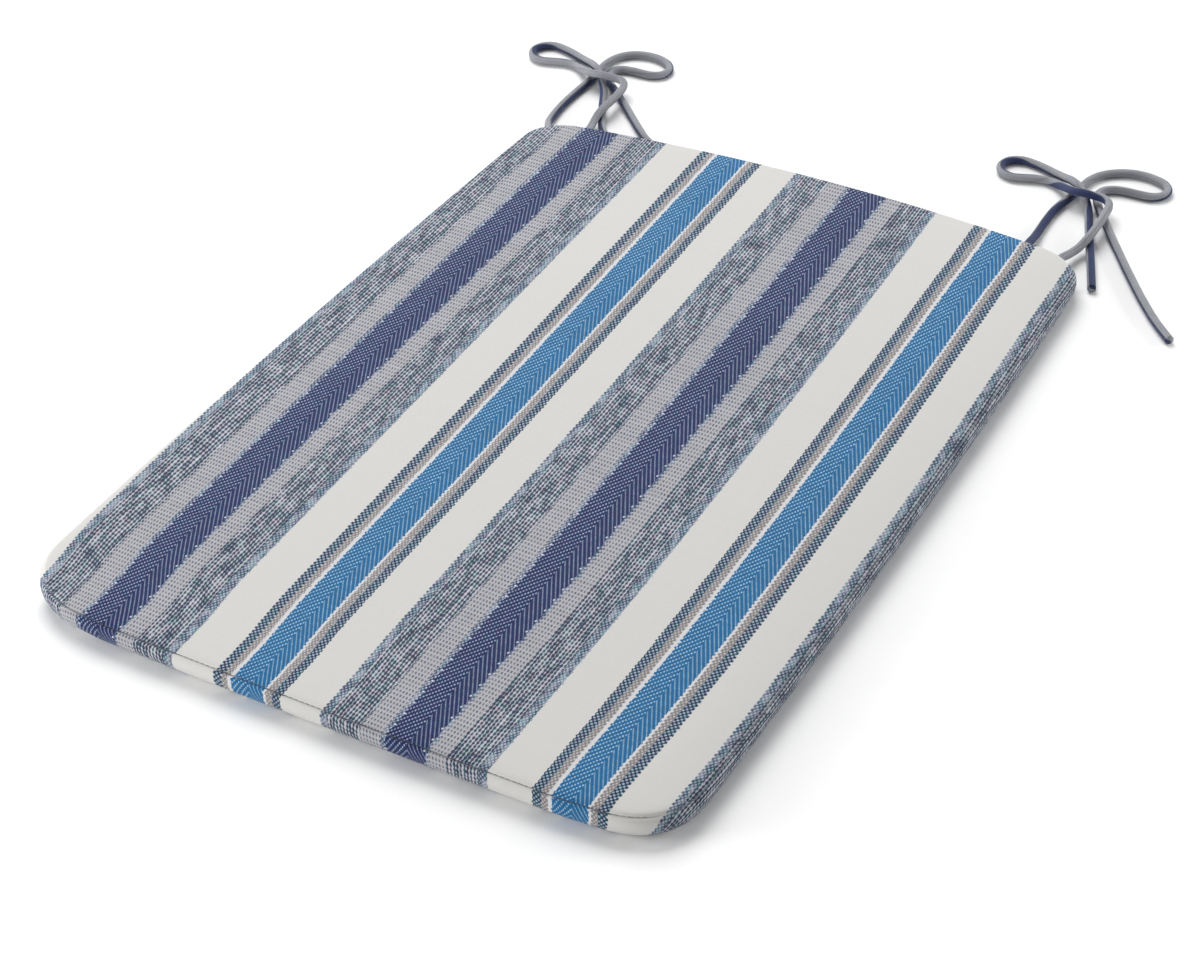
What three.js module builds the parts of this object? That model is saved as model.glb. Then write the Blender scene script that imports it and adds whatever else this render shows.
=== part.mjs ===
// Woven-stripe chair pad: a thin boxed seat pad with two pairs of fabric ties, each pair tied in a bow.
// Millimetres. X runs across the pad, Y from its front edge to its back edge, Z up.
// The origin is the middle of the pad's footprint, on the surface that the pad lies on.
import * as THREE from 'three';

// Pad outline, measured at the seam between the top panel and the boxing strip
const FRONT_HALF_WIDTH = 190;
const BACK_HALF_WIDTH = 181;
const SIDE_BOW = 4;
const SEAM_DEPTH = 526;
const FRONT_BOW = 2.4;
const BACK_BOW = 14;
const FRONT_CORNER = { across: 47, along: 33 };
const BACK_CORNER = { across: 25, along: 18 };
const CORNER_STEPS = 9;
const EDGE_STEPS = 8;
const SIDE_STEPS = 12;

// Section of the pad, from the underside round the boxing to the crown.
// inset is how far the ring is drawn in from the seam outline, height is above the surface.
const SECTION = [
  { inset: 60, height: 0 },
  { inset: 7, height: 0 },
  { inset: 3.2, height: 0.6 },
  { inset: 0.9, height: 2.2 },
  { inset: -0.5, height: 4.6 },
  { inset: -1.1, height: 8 },
  { inset: -0.9, height: 11.2 },
  { inset: -0.3, height: 13.6 },
  { inset: 1.0, height: 15.2 },
  { inset: 0.7, height: 16.2 },
  { inset: 2.2, height: 17.4 },
  { inset: 5.5, height: 18.4 },
  { inset: 12, height: 19.1 },
  { inset: 26, height: 19.6 },
  { inset: 60, height: 19.9 },
];
const CROWN_HEIGHT = 20;

// Ties: narrow sewn tubes of the same cloth
const TIE_DIAMETER = 5;
const TIE_SIDES = 10;
const TIE_STEPS = 80;

// Middle of each bow's knot
const LEFT_KNOT = { x: -184, y: 335 };
const RIGHT_KNOT = { x: 150, y: 338 };

// Routes from the boxing to the free end: x and y from the knot's middle, z above the surface.
const LEFT_OUTER_ROUTE = [
  [10.2, -86.4, 8], [6.2, -82.4, 7.7], [1.7, -77, 6.3], [-2.5, -70, 4.3], [-5.3, -61.5, 3],
  [-6.9, -50.5, 2.7], [-7.5, -39, 2.7], [-7.4, -28, 2.7], [-7, -18, 2.7], [-6.8, -9, 2.7],
  [-7.4, -0.5, 2.7], [-8, 8, 2.7], [-7.4, 16.5, 2.7], [-4.4, 24.4, 2.7], [1, 30, 2.7],
  [8, 33, 2.7], [16, 33.8, 2.7], [24, 32, 2.7], [30.2, 28.5, 2.7], [33.6, 22.9, 2.7],
  [32.6, 16.6, 2.7], [27.4, 12.8, 2.7], [20, 12, 2.7], [12, 12, 2.7], [5, 10.3, 2.7],
  [0.9, 5.8, 2.7], [0.9, -0.2, 2.7], [4.4, -5.8, 2.7], [10.2, -11, 2.7], [19.5, -19.2, 2.7],
  [29.5, -28.5, 2.7], [40.5, -39, 2.7], [52, -50, 2.7], [64, -60.2, 2.7], [77, -66.4, 2.7],
  [92, -68.5, 2.7],
];
const LEFT_INNER_ROUTE = [
  [28.8, -80, 8], [28.3, -74.8, 7.7], [26.4, -67, 6.2], [24.4, -59, 6.2], [23.8, -52, 7.9],
  [23.9, -45, 8.6], [23.8, -35, 8.5], [23.6, -25.5, 8.7], [22.5, -18, 8.8], [19.5, -12.6, 8.9],
  [14.6, -11, 9.2], [9.6, -12.4, 10.3], [4.6, -14.2, 11.6], [-0.8, -14.4, 11.2], [-6.2, -11.8, 9.4],
  [-12.1, -7, 6.9], [-18.4, -2, 4.2], [-25.4, 1.8, 2.9], [-33.4, 2.2, 2.7], [-41.4, 0, 2.7],
  [-49.4, -1.9, 2.7], [-57, 0.9, 2.7], [-60.6, 8, 2.7], [-57.9, 15.4, 2.7], [-50.8, 18.8, 2.7],
  [-42.4, 17.6, 2.7], [-34.4, 15.2, 2.7], [-27, 12, 2.9], [-19.4, 7.6, 4.3], [-12, 1.8, 7],
  [-5.4, -4.2, 8.7], [0, -9, 7.6], [4.2, -13.4, 5.7], [8.2, -18.8, 3.8], [12.4, -26.6, 2.8],
  [17.6, -37, 2.7], [24, -48.5, 2.7], [31, -60, 2.7], [39.5, -68.4, 2.7], [50, -71.5, 2.7],
];
const RIGHT_INNER_ROUTE = [
  [-9, -81.3, 8], [-9.3, -75.9, 7.7], [-10, -69.5, 6.3], [-10.8, -61.5, 4.2], [-11.8, -51, 2.9],
  [-12.5, -39, 2.7], [-12.5, -28, 2.7], [-11.3, -18, 2.7], [-9.3, -9.5, 2.7], [-7.8, -1.5, 2.7],
  [-7.2, 6.5, 2.7], [-5.8, 14.5, 2.7], [-2, 22, 2.7], [4.5, 28, 2.7], [12.5, 31.8, 2.7],
  [21, 33, 2.7], [29.5, 31.8, 2.7], [36.4, 28.8, 2.7], [40.4, 23.4, 2.7], [39.8, 17, 2.7],
  [34.8, 12.9, 2.7], [27, 12, 2.7], [18, 11.8, 2.7], [10.6, 10.2, 2.7], [5.6, 6, 2.7],
  [4.5, 0, 2.7], [7, -6.6, 2.7], [11.8, -14.4, 2.7], [19.6, -25.4, 2.7], [29.4, -39.4, 2.7],
  [40.6, -54.8, 2.7], [53.2, -71.8, 2.7], [67.2, -90, 2.7], [82, -107.6, 2.7], [96.4, -122, 2.7],
];
const RIGHT_OUTER_ROUTE = [
  [13.2, -84.2, 8], [13.8, -79, 7.7], [15.6, -70.6, 6.2], [17.8, -62, 6], [19.4, -54.6, 7.7],
  [20.2, -47.6, 8.6], [20, -37.6, 8.5], [19.4, -27, 8.7], [18.7, -19, 8.8], [16.2, -13.4, 8.9],
  [11.5, -11.1, 9.2], [6.4, -12.2, 10.2], [1.5, -14, 11.6], [-3.6, -14, 11.1], [-8.6, -10.8, 9.2],
  [-14, -6, 6.7], [-20, -1.2, 4.1], [-26.8, 2.2, 2.9], [-34.6, 1.8, 2.7], [-42.4, -0.9, 2.7],
  [-50.2, -2.8, 2.7], [-57.7, 0.1, 2.7], [-61, 7.2, 2.7], [-58.2, 14.4, 2.7], [-51.2, 17.7, 2.7],
  [-43, 16.9, 2.7], [-35, 14.8, 2.7], [-27.8, 12, 2.9], [-20.6, 8, 4.3], [-13.6, 2.6, 7],
  [-7, -3.4, 8.7], [-1.8, -8.2, 7.5], [2.3, -12.8, 5.6], [5.9, -18.2, 3.8], [9.4, -25.8, 2.8],
  [13.6, -36, 2.7], [19.2, -48.8, 2.7], [25.6, -63.4, 2.7], [32.2, -78.6, 2.7], [38.8, -94, 2.7],
];

// Half width of the seam outline at a distance behind the front edge
function halfWidth(distance) {
  const t = distance / SEAM_DEPTH;
  return FRONT_HALF_WIDTH + (BACK_HALF_WIDTH - FRONT_HALF_WIDTH) * t + SIDE_BOW * 4 * t * (1 - t);
}

// Right half of the seam outline, from the middle of the front edge to the middle of the back edge
function rightHalfOutline() {
  const frontEdge = (x) => FRONT_BOW * (x / FRONT_HALF_WIDTH) ** 2;
  const backEdge = (x) => SEAM_DEPTH - BACK_BOW * (x / BACK_HALF_WIDTH) ** 2;
  const points = [];
  const frontRun = FRONT_HALF_WIDTH - FRONT_CORNER.across;
  for (let i = 0; i <= EDGE_STEPS; i += 1) {
    const x = (frontRun * i) / EDGE_STEPS;
    points.push(new THREE.Vector2(x, frontEdge(x)));
  }
  for (let i = 1; i <= CORNER_STEPS; i += 1) {
    const a = (i / CORNER_STEPS) * (Math.PI / 2);
    const y = FRONT_BOW + FRONT_CORNER.along * (1 - Math.cos(a));
    points.push(new THREE.Vector2(halfWidth(y) - FRONT_CORNER.across * (1 - Math.sin(a)), y));
  }
  const sideStart = points[points.length - 1].y;
  const backRun = BACK_HALF_WIDTH - BACK_CORNER.across;
  const sideEnd = backEdge(backRun) - BACK_CORNER.along;
  for (let i = 1; i <= SIDE_STEPS; i += 1) {
    const y = sideStart + ((sideEnd - sideStart) * i) / SIDE_STEPS;
    points.push(new THREE.Vector2(halfWidth(y), y));
  }
  for (let i = 1; i <= CORNER_STEPS; i += 1) {
    const a = (i / CORNER_STEPS) * (Math.PI / 2);
    const x = halfWidth(sideEnd) - BACK_CORNER.across * (1 - Math.cos(a));
    points.push(new THREE.Vector2(x, backEdge(x) - BACK_CORNER.along * (1 - Math.sin(a))));
  }
  const lastX = points[points.length - 1].x;
  for (let i = 1; i <= EDGE_STEPS; i += 1) {
    const x = lastX * (1 - i / EDGE_STEPS);
    points.push(new THREE.Vector2(x, backEdge(x)));
  }
  return points;
}

// Whole seam outline, counter-clockwise from above, centred on the pad
function seamOutline() {
  const right = rightHalfOutline();
  const left = right.slice(1, -1).reverse().map((p) => new THREE.Vector2(-p.x, p.y));
  return [...right, ...left].map((p) => new THREE.Vector2(p.x, p.y - SEAM_DEPTH / 2));
}

// The filled pad: the outline drawn in ring by ring, closed by a fan below and above
function padGeometry() {
  const outline = seamOutline();
  const count = outline.length;
  const positions = [];
  for (const row of SECTION) {
    const scaleX = 1 - row.inset / FRONT_HALF_WIDTH;
    const scaleY = 1 - row.inset / (SEAM_DEPTH / 2);
    for (const p of outline) {
      positions.push(p.x * scaleX, p.y * scaleY, row.height);
    }
  }
  const bottomCentre = positions.length / 3;
  positions.push(0, 0, 0);
  const topCentre = bottomCentre + 1;
  positions.push(0, 0, CROWN_HEIGHT);
  const indices = [];
  for (let ring = 0; ring < SECTION.length - 1; ring += 1) {
    for (let i = 0; i < count; i += 1) {
      const next = (i + 1) % count;
      const a = ring * count + i;
      const b = ring * count + next;
      indices.push(a, b, b + count, a, b + count, a + count);
    }
  }
  const lastRing = (SECTION.length - 1) * count;
  for (let i = 0; i < count; i += 1) {
    const next = (i + 1) % count;
    indices.push(bottomCentre, next, i);
    indices.push(topCentre, lastRing + i, lastRing + next);
  }
  const geometry = new THREE.BufferGeometry();
  geometry.setAttribute('position', new THREE.Float32BufferAttribute(positions, 3));
  geometry.setIndex(indices);
  geometry.computeVertexNormals();
  return geometry;
}

// One tie: a round tube along its route
function tieGeometry(knot, route) {
  const points = route.map(([x, y, z]) => new THREE.Vector3(knot.x + x, knot.y + y, z));
  const path = new THREE.CatmullRomCurve3(points, false, 'centripetal');
  const section = new THREE.Shape();
  for (let i = 0; i < TIE_SIDES; i += 1) {
    const a = (i / TIE_SIDES) * Math.PI * 2;
    const x = (TIE_DIAMETER / 2) * Math.cos(a);
    const y = (TIE_DIAMETER / 2) * Math.sin(a);
    if (i === 0) section.moveTo(x, y);
    else section.lineTo(x, y);
  }
  section.closePath();
  return new THREE.ExtrudeGeometry(section, { steps: TIE_STEPS, extrudePath: path, bevelEnabled: false });
}

const padCloth = new THREE.MeshStandardMaterial({ color: 0xa9b0bc, roughness: 0.95, metalness: 0 });
const tieCloth = new THREE.MeshStandardMaterial({ color: 0x8f96a6, roughness: 0.95, metalness: 0 });

function namedMesh(name, geometry, material) {
  const mesh = new THREE.Mesh(geometry, material);
  mesh.name = name;
  return mesh;
}

const group = new THREE.Group();
group.add(namedMesh('pad', padGeometry(), padCloth));
group.add(namedMesh('tie_left_outer', tieGeometry(LEFT_KNOT, LEFT_OUTER_ROUTE), tieCloth));
group.add(namedMesh('tie_left_inner', tieGeometry(LEFT_KNOT, LEFT_INNER_ROUTE), tieCloth));
group.add(namedMesh('tie_right_inner', tieGeometry(RIGHT_KNOT, RIGHT_INNER_ROUTE), tieCloth));
group.add(namedMesh('tie_right_outer', tieGeometry(RIGHT_KNOT, RIGHT_OUTER_ROUTE), tieCloth));

export default group;
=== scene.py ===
"""Chair pad with tie bows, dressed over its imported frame.

A flat foam seat pad in a striped woven cloth, with a sewn boxing all round
and two pairs of cloth ties at the back, each tied in a loose bow. Everything
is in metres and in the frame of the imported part.
"""

from __future__ import annotations

import logging
import math
from dataclasses import dataclass, field
from enum import Enum
from typing import Callable

import bpy
import numpy as np
from mathutils import Matrix, Vector


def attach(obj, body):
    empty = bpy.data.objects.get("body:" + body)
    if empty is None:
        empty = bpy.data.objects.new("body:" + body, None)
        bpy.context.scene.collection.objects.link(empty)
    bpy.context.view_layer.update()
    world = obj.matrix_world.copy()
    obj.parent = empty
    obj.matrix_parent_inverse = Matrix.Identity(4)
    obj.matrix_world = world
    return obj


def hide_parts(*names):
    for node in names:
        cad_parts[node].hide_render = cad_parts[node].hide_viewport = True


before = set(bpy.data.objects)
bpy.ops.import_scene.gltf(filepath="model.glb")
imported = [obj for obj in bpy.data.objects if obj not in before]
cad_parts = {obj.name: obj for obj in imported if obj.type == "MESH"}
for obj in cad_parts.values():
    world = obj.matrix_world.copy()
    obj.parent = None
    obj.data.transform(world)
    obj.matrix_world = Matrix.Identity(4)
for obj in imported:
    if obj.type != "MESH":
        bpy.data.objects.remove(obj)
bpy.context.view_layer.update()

LOG = logging.getLogger("chair_pad")
MM = 0.001
BODY = "root"
CLOTH_MAP = "cloth"
VIEWPOINT = (0.6324, -1.0107, 0.9043)


class Slot(Enum):
    """The two cloths of the part, by the names that its record gives them."""

    STRIPED = "striped_cloth"
    TIE = "tie_cloth"


class Panel(Enum):
    """The cut pieces of cloth that the pad is sewn from."""

    TOP = 0
    BOXING = 1
    UNDERSIDE = 2


# ---------------------------------------------------------------------------
# Shapes in numbers
# ---------------------------------------------------------------------------


@dataclass(frozen=True)
class Corner:
    """One rounded corner: its reach across and along, and how square it is."""

    across: float
    along: float
    squareness: float = 2.0

    def turn(self, steps: int) -> tuple[np.ndarray, np.ndarray]:
        """Walk the corner from its straight end across to its straight end along.

        Args:
            steps: Number of points.

        Returns:
            How far each point is drawn in across, and how far it has come along.
        """
        angle = np.linspace(0, math.pi / 2, steps, endpoint=False)
        share = 2 / self.squareness
        return self.across * (1 - np.sin(angle) ** share), self.along * (1 - np.cos(angle) ** share)


@dataclass(frozen=True)
class SeamOutline:
    """The sewn outline of the pad from above, about the middle of the pad."""

    front_half_width: float = 190 * MM
    back_half_width: float = 181 * MM
    side_bow: float = 4 * MM
    depth: float = 526 * MM
    front_bow: float = 2.0 * MM
    back_bow: float = 14 * MM
    front_right: Corner = Corner(49.4 * MM, 44.2 * MM, 2.9)
    front_left: Corner = Corner(49 * MM, 36 * MM, 2.12)
    back_corner: Corner = Corner(25 * MM, 18 * MM)
    corner_steps: int = 64
    edge_steps: int = 80

    def half_width(self, distance: np.ndarray) -> np.ndarray:
        """Give the half width of the outline behind the front edge.

        Args:
            distance: Distances behind the front edge.

        Returns:
            The half width at each distance.
        """
        t = distance / self.depth
        taper = self.front_half_width + (self.back_half_width - self.front_half_width) * t
        return taper + self.side_bow * 4 * t * (1 - t)

    def front_edge(self, x: np.ndarray) -> np.ndarray:
        """Give how far the front edge has moved back at x."""
        return self.front_bow * (x / self.front_half_width) ** 2

    def back_edge(self, x: np.ndarray) -> np.ndarray:
        """Give how far behind the front the back edge lies at x."""
        return self.depth - self.back_bow * (x / self.back_half_width) ** 2

    def half(self, front: Corner) -> tuple[np.ndarray, int, int]:
        """Walk one half, drawn as the right one, from mid front to mid back.

        Args:
            front: The half's front corner.

        Returns:
            The points, and the places in them of the two corners' middles.
        """
        x = np.linspace(0, self.front_half_width - front.across, self.edge_steps, endpoint=False)
        runs = [np.stack([x, self.front_edge(x)], 1)]
        drawn_in, come = front.turn(self.corner_steps)
        y = self.front_bow + come
        runs.append(np.stack([self.half_width(y) - drawn_in, y], 1))
        front_middle = self.edge_steps + self.corner_steps // 2
        side_start = self.front_bow + front.along
        back = self.back_corner
        side_end = float(self.back_edge(np.float64(self.back_half_width - back.across))) - back.along
        y = np.linspace(side_start, side_end, self.edge_steps, endpoint=False)
        runs.append(np.stack([self.half_width(y), y], 1))
        turn = np.linspace(0, math.pi / 2, self.corner_steps, endpoint=False)
        x = self.half_width(np.float64(side_end)) - back.across * (1 - np.cos(turn))
        runs.append(np.stack([x, self.back_edge(x) - back.along * (1 - np.sin(turn))], 1))
        back_middle = 2 * self.edge_steps + self.corner_steps + self.corner_steps // 2
        last = float(self.half_width(np.float64(side_end))) - back.across
        x = np.linspace(last, 0, self.edge_steps)
        runs.append(np.stack([x, self.back_edge(x)], 1))
        return np.concatenate(runs) - np.array([0, self.depth / 2]), front_middle, back_middle

    def four_sides(self, across: int, along: int) -> list[np.ndarray]:
        """Divide the outline evenly into four sides, split at its corners.

        Args:
            across: Steps on the front and on the back side.
            along: Steps on each of the long sides.

        Returns:
            The front, right, back and left side, counter-clockwise from above,
            each with both of its end points.
        """
        right, front_middle, back_middle = self.half(self.front_right)
        left = self.half(self.front_left)[0] * np.array([-1, 1])
        front = np.concatenate([left[: front_middle + 1][::-1], right[1 : front_middle + 1]])
        side = right[front_middle : back_middle + 1]
        back = np.concatenate([right[back_middle:], left[back_middle:-1][::-1]])
        other = left[front_middle : back_middle + 1][::-1]
        return [
            evenly(front, across),
            evenly(side, along),
            evenly(back, across),
            evenly(other, along),
        ]


def evenly(points: np.ndarray, steps: int) -> np.ndarray:
    """Place points at even distances along a line.

    Args:
        points: The line, in two or three dimensions.
        steps: Number of steps.

    Returns:
        One point more than there are steps, with both ends kept.
    """
    length = np.concatenate([[0], np.cumsum(np.linalg.norm(np.diff(points, axis=0), axis=1))])
    at = np.linspace(0, length[-1], steps + 1)
    return np.stack([np.interp(at, length, points[:, k]) for k in range(points.shape[1])], 1)


def outward(loop: np.ndarray) -> np.ndarray:
    """Give the outward direction at each point of a closed loop.

    Args:
        loop: The loop's points from above, counter-clockwise.

    Returns:
        One direction of length 1 for each point.
    """
    along = np.roll(loop, -1, axis=0) - np.roll(loop, 1, axis=0)
    normal = np.stack([along[:, 1], -along[:, 0]], 1)
    return normal / np.linalg.norm(normal, axis=1)[:, None]


def step(value: np.ndarray, low: float, high: float) -> np.ndarray:
    """Run smoothly from 0 at low to 1 at high."""
    t = np.clip((value - low) / (high - low), 0, 1)
    return t * t * (3 - 2 * t)


@dataclass(frozen=True)
class ClothLayout:
    """How the striped cloth lies on the pad: stripes run from front to back."""

    repeat: float = 184 * MM
    start: float = 83.28 * MM
    slant: float = 0.0254
    bow: tuple[float, float, float] = (1.05 * MM, 1.74 * MM, 3.0 * MM)
    rows_per_metre: float = 622.5
    row_spread: float = 190.0
    row_tilt: float = 0.028
    half_size: tuple[float, float] = (190 * MM, 264 * MM)

    def eased(self, x: np.ndarray, y: np.ndarray) -> np.ndarray:
        """Give how far the cloth has crept across near the pad's edges.

        Args:
            x: Places across, in metres.
            y: Places along.

        Returns:
            The creep at each place, in metres.
        """
        left = step(-x, 60 * MM, 140 * MM)
        rim = step(-x, 158 * MM, 178 * MM) * np.exp(-(((y + 110 * MM) / (160 * MM)) ** 2))
        front = step(-y, 205 * MM, 248 * MM)
        right = step(x, 80 * MM, 150 * MM) * step(-y, 150 * MM, 245 * MM)
        inner = np.exp(-(((x - 75 * MM) / (26 * MM)) ** 2) - ((y + 125 * MM) / (85 * MM)) ** 2)
        ends = step(x, 90 * MM, 140 * MM) + 0.8 * step(-x, 125 * MM, 160 * MM)
        back = step(y, 180 * MM, 230 * MM) * ends
        edges = 3.4 * MM * rim + front * (0.0145 * x - 1.1 * MM) + 1.4 * MM * right - 1.2 * MM * back
        return -0.0115 * y * left + edges - 1.0 * MM * inner

    def levelled(self, points: np.ndarray, level: float) -> np.ndarray:
        """Carry points up to one level along the photograph's lines of sight.

        The stripes were measured there, so they fall where the photograph shows them.

        Args:
            points: Places on the pad.
            level: The height of the level.

        Returns:
            Their places from above on that level.
        """
        viewer = np.array(VIEWPOINT)
        share = (level - points[:, 2:3]) / (viewer[2] - points[:, 2:3])
        return points[:, :2] + (viewer[:2] - points[:, :2]) * share

    def at(self, points: np.ndarray) -> np.ndarray:
        """Give the place in the cloth of points of the pad.

        Args:
            points: Places from above, one row each.

        Returns:
            Stripe repeats across, and weft rows along, for each point.
        """
        x, y = points[:, 0], points[:, 1]
        across, along = x / self.half_size[0], y / self.half_size[1]
        level, sag, twist = self.bow
        drift = level - sag * along**2 - twist * across * along**2
        stripe = x + self.eased(x, y) + self.start + self.slant * (y + self.half_size[1]) - drift
        run = y + self.row_tilt * x
        rows = self.rows_per_metre * run - self.row_spread * run**2
        return np.stack([stripe / self.repeat, rows], 1)


# ---------------------------------------------------------------------------
# Small makers of meshes
# ---------------------------------------------------------------------------


def add_object(name: str, mesh: bpy.types.Mesh) -> bpy.types.Object:
    """Put a mesh in the scene as an object at the origin.

    Args:
        name: Name of the piece.
        mesh: Its mesh, in the part's frame.

    Returns:
        The new object.
    """
    piece = bpy.data.objects.new(name, mesh)
    bpy.context.scene.collection.objects.link(piece)
    return piece


def mesh_from(name: str, points: np.ndarray, faces: list[tuple[int, ...]]) -> bpy.types.Mesh:
    """Make a smooth mesh from points and faces.

    Args:
        name: Name of the mesh.
        points: Its points, one row each.
        faces: The points of each face, counter-clockwise from outside.

    Returns:
        The mesh.
    """
    mesh = bpy.data.meshes.new(name)
    mesh.from_pydata(points.tolist(), [], faces)
    mesh.update()
    mesh.polygons.foreach_set("use_smooth", [True] * len(mesh.polygons))
    return mesh


def baked(piece: bpy.types.Object) -> bpy.types.Object:
    """Turn a piece's modifiers into plain mesh and take them off.

    Args:
        piece: The object to bake.

    Returns:
        The same object, with its evaluated mesh.
    """
    bpy.context.view_layer.update()
    graph = bpy.context.evaluated_depsgraph_get()
    mesh = bpy.data.meshes.new_from_object(
        piece.evaluated_get(graph), preserve_all_data_layers=True, depsgraph=graph
    )
    piece.modifiers.clear()
    piece.data = mesh
    bpy.context.view_layer.update()
    return piece


def read_points(mesh: bpy.types.Mesh) -> np.ndarray:
    """Read a mesh's points.

    Args:
        mesh: The mesh.

    Returns:
        Its points, one row each.
    """
    flat = np.empty(len(mesh.vertices) * 3)
    mesh.vertices.foreach_get("co", flat)
    return flat.reshape(-1, 3)


# ---------------------------------------------------------------------------
# Materials
# ---------------------------------------------------------------------------


def linear(red: int, green: int, blue: int) -> tuple[float, float, float, float]:
    """Turn a colour as seen on a screen into the linear one that shaders use.

    Args:
        red: Its red, from 0 to 255.
        green: Its green.
        blue: Its blue.

    Returns:
        The linear colour, with full cover.
    """

    def channel(value: float) -> float:
        """Turn one channel from 0 to 1 into its linear value."""
        return value / 12.92 if value <= 0.04045 else ((value + 0.055) / 1.055) ** 2.4

    return channel(red / 255), channel(green / 255), channel(blue / 255), 1.0


LIGHT_LEVEL = 1.30
CLOTH_SPECULAR = 0.25
SHEEN_ROUGHNESS = 0.5


def dyed(red: int, green: int, blue: int) -> tuple[float, float, float, float]:
    """Give the dye that looks like a colour of the photograph under the studio's light."""
    return tuple(channel / LIGHT_LEVEL for channel in linear(red, green, blue)[:3]) + (1.0,)


class Wire:
    """A value that runs through a material's nodes and grows with each sum."""

    def __init__(self, bench: Bench, socket: bpy.types.NodeSocket) -> None:
        """Hold an output socket of one of the bench's nodes."""
        self.bench = bench
        self.socket = socket

    def __add__(self, other: Wire | float) -> Wire:
        """Add."""
        return self.bench.sum("ADD", self, other)

    def __sub__(self, other: Wire | float) -> Wire:
        """Take away."""
        return self.bench.sum("SUBTRACT", self, other)

    def __rsub__(self, other: float) -> Wire:
        """Take this away from a number."""
        return self.bench.sum("SUBTRACT", other, self)

    def __mul__(self, other: Wire | float) -> Wire:
        """Multiply."""
        return self.bench.sum("MULTIPLY", self, other)

    def __truediv__(self, other: Wire | float) -> Wire:
        """Divide."""
        return self.bench.sum("DIVIDE", self, other)

    __radd__ = __add__
    __rmul__ = __mul__

    def whole(self) -> Wire:
        """Round down to a whole number."""
        return self.bench.sum("FLOOR", self)

    def part(self) -> Wire:
        """Keep what is left over a whole number."""
        return self.bench.sum("FRACT", self)

    def size(self) -> Wire:
        """Drop the sign."""
        return self.bench.sum("ABSOLUTE", self)

    def above(self, edge: Wire | float) -> Wire:
        """Give 1 above an edge and 0 below it."""
        return self.bench.sum("GREATER_THAN", self, edge)

    def below(self, edge: Wire | float) -> Wire:
        """Give 1 below an edge and 0 above it."""
        return self.bench.sum("LESS_THAN", self, edge)

    def most(self, other: Wire | float) -> Wire:
        """Give the larger of the two."""
        return self.bench.sum("MAXIMUM", self, other)

    def arch(self) -> Wire:
        """Give a round hump over each whole step, 0 at its ends and 1 in its middle."""
        return self.bench.sum("SINE", self.part() * math.pi)

    def ramp(self, low: float, high: float, start: float = 0, end: float = 1) -> Wire:
        """Run smoothly from start to end as the value goes from low to high.

        Args:
            low: Value at which the ramp starts.
            high: Value at which it ends.
            start: What it gives up to low.
            end: What it gives from high on.

        Returns:
            The ramped value.
        """
        return self.bench.smooth(self, low, high, start, end)


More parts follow.
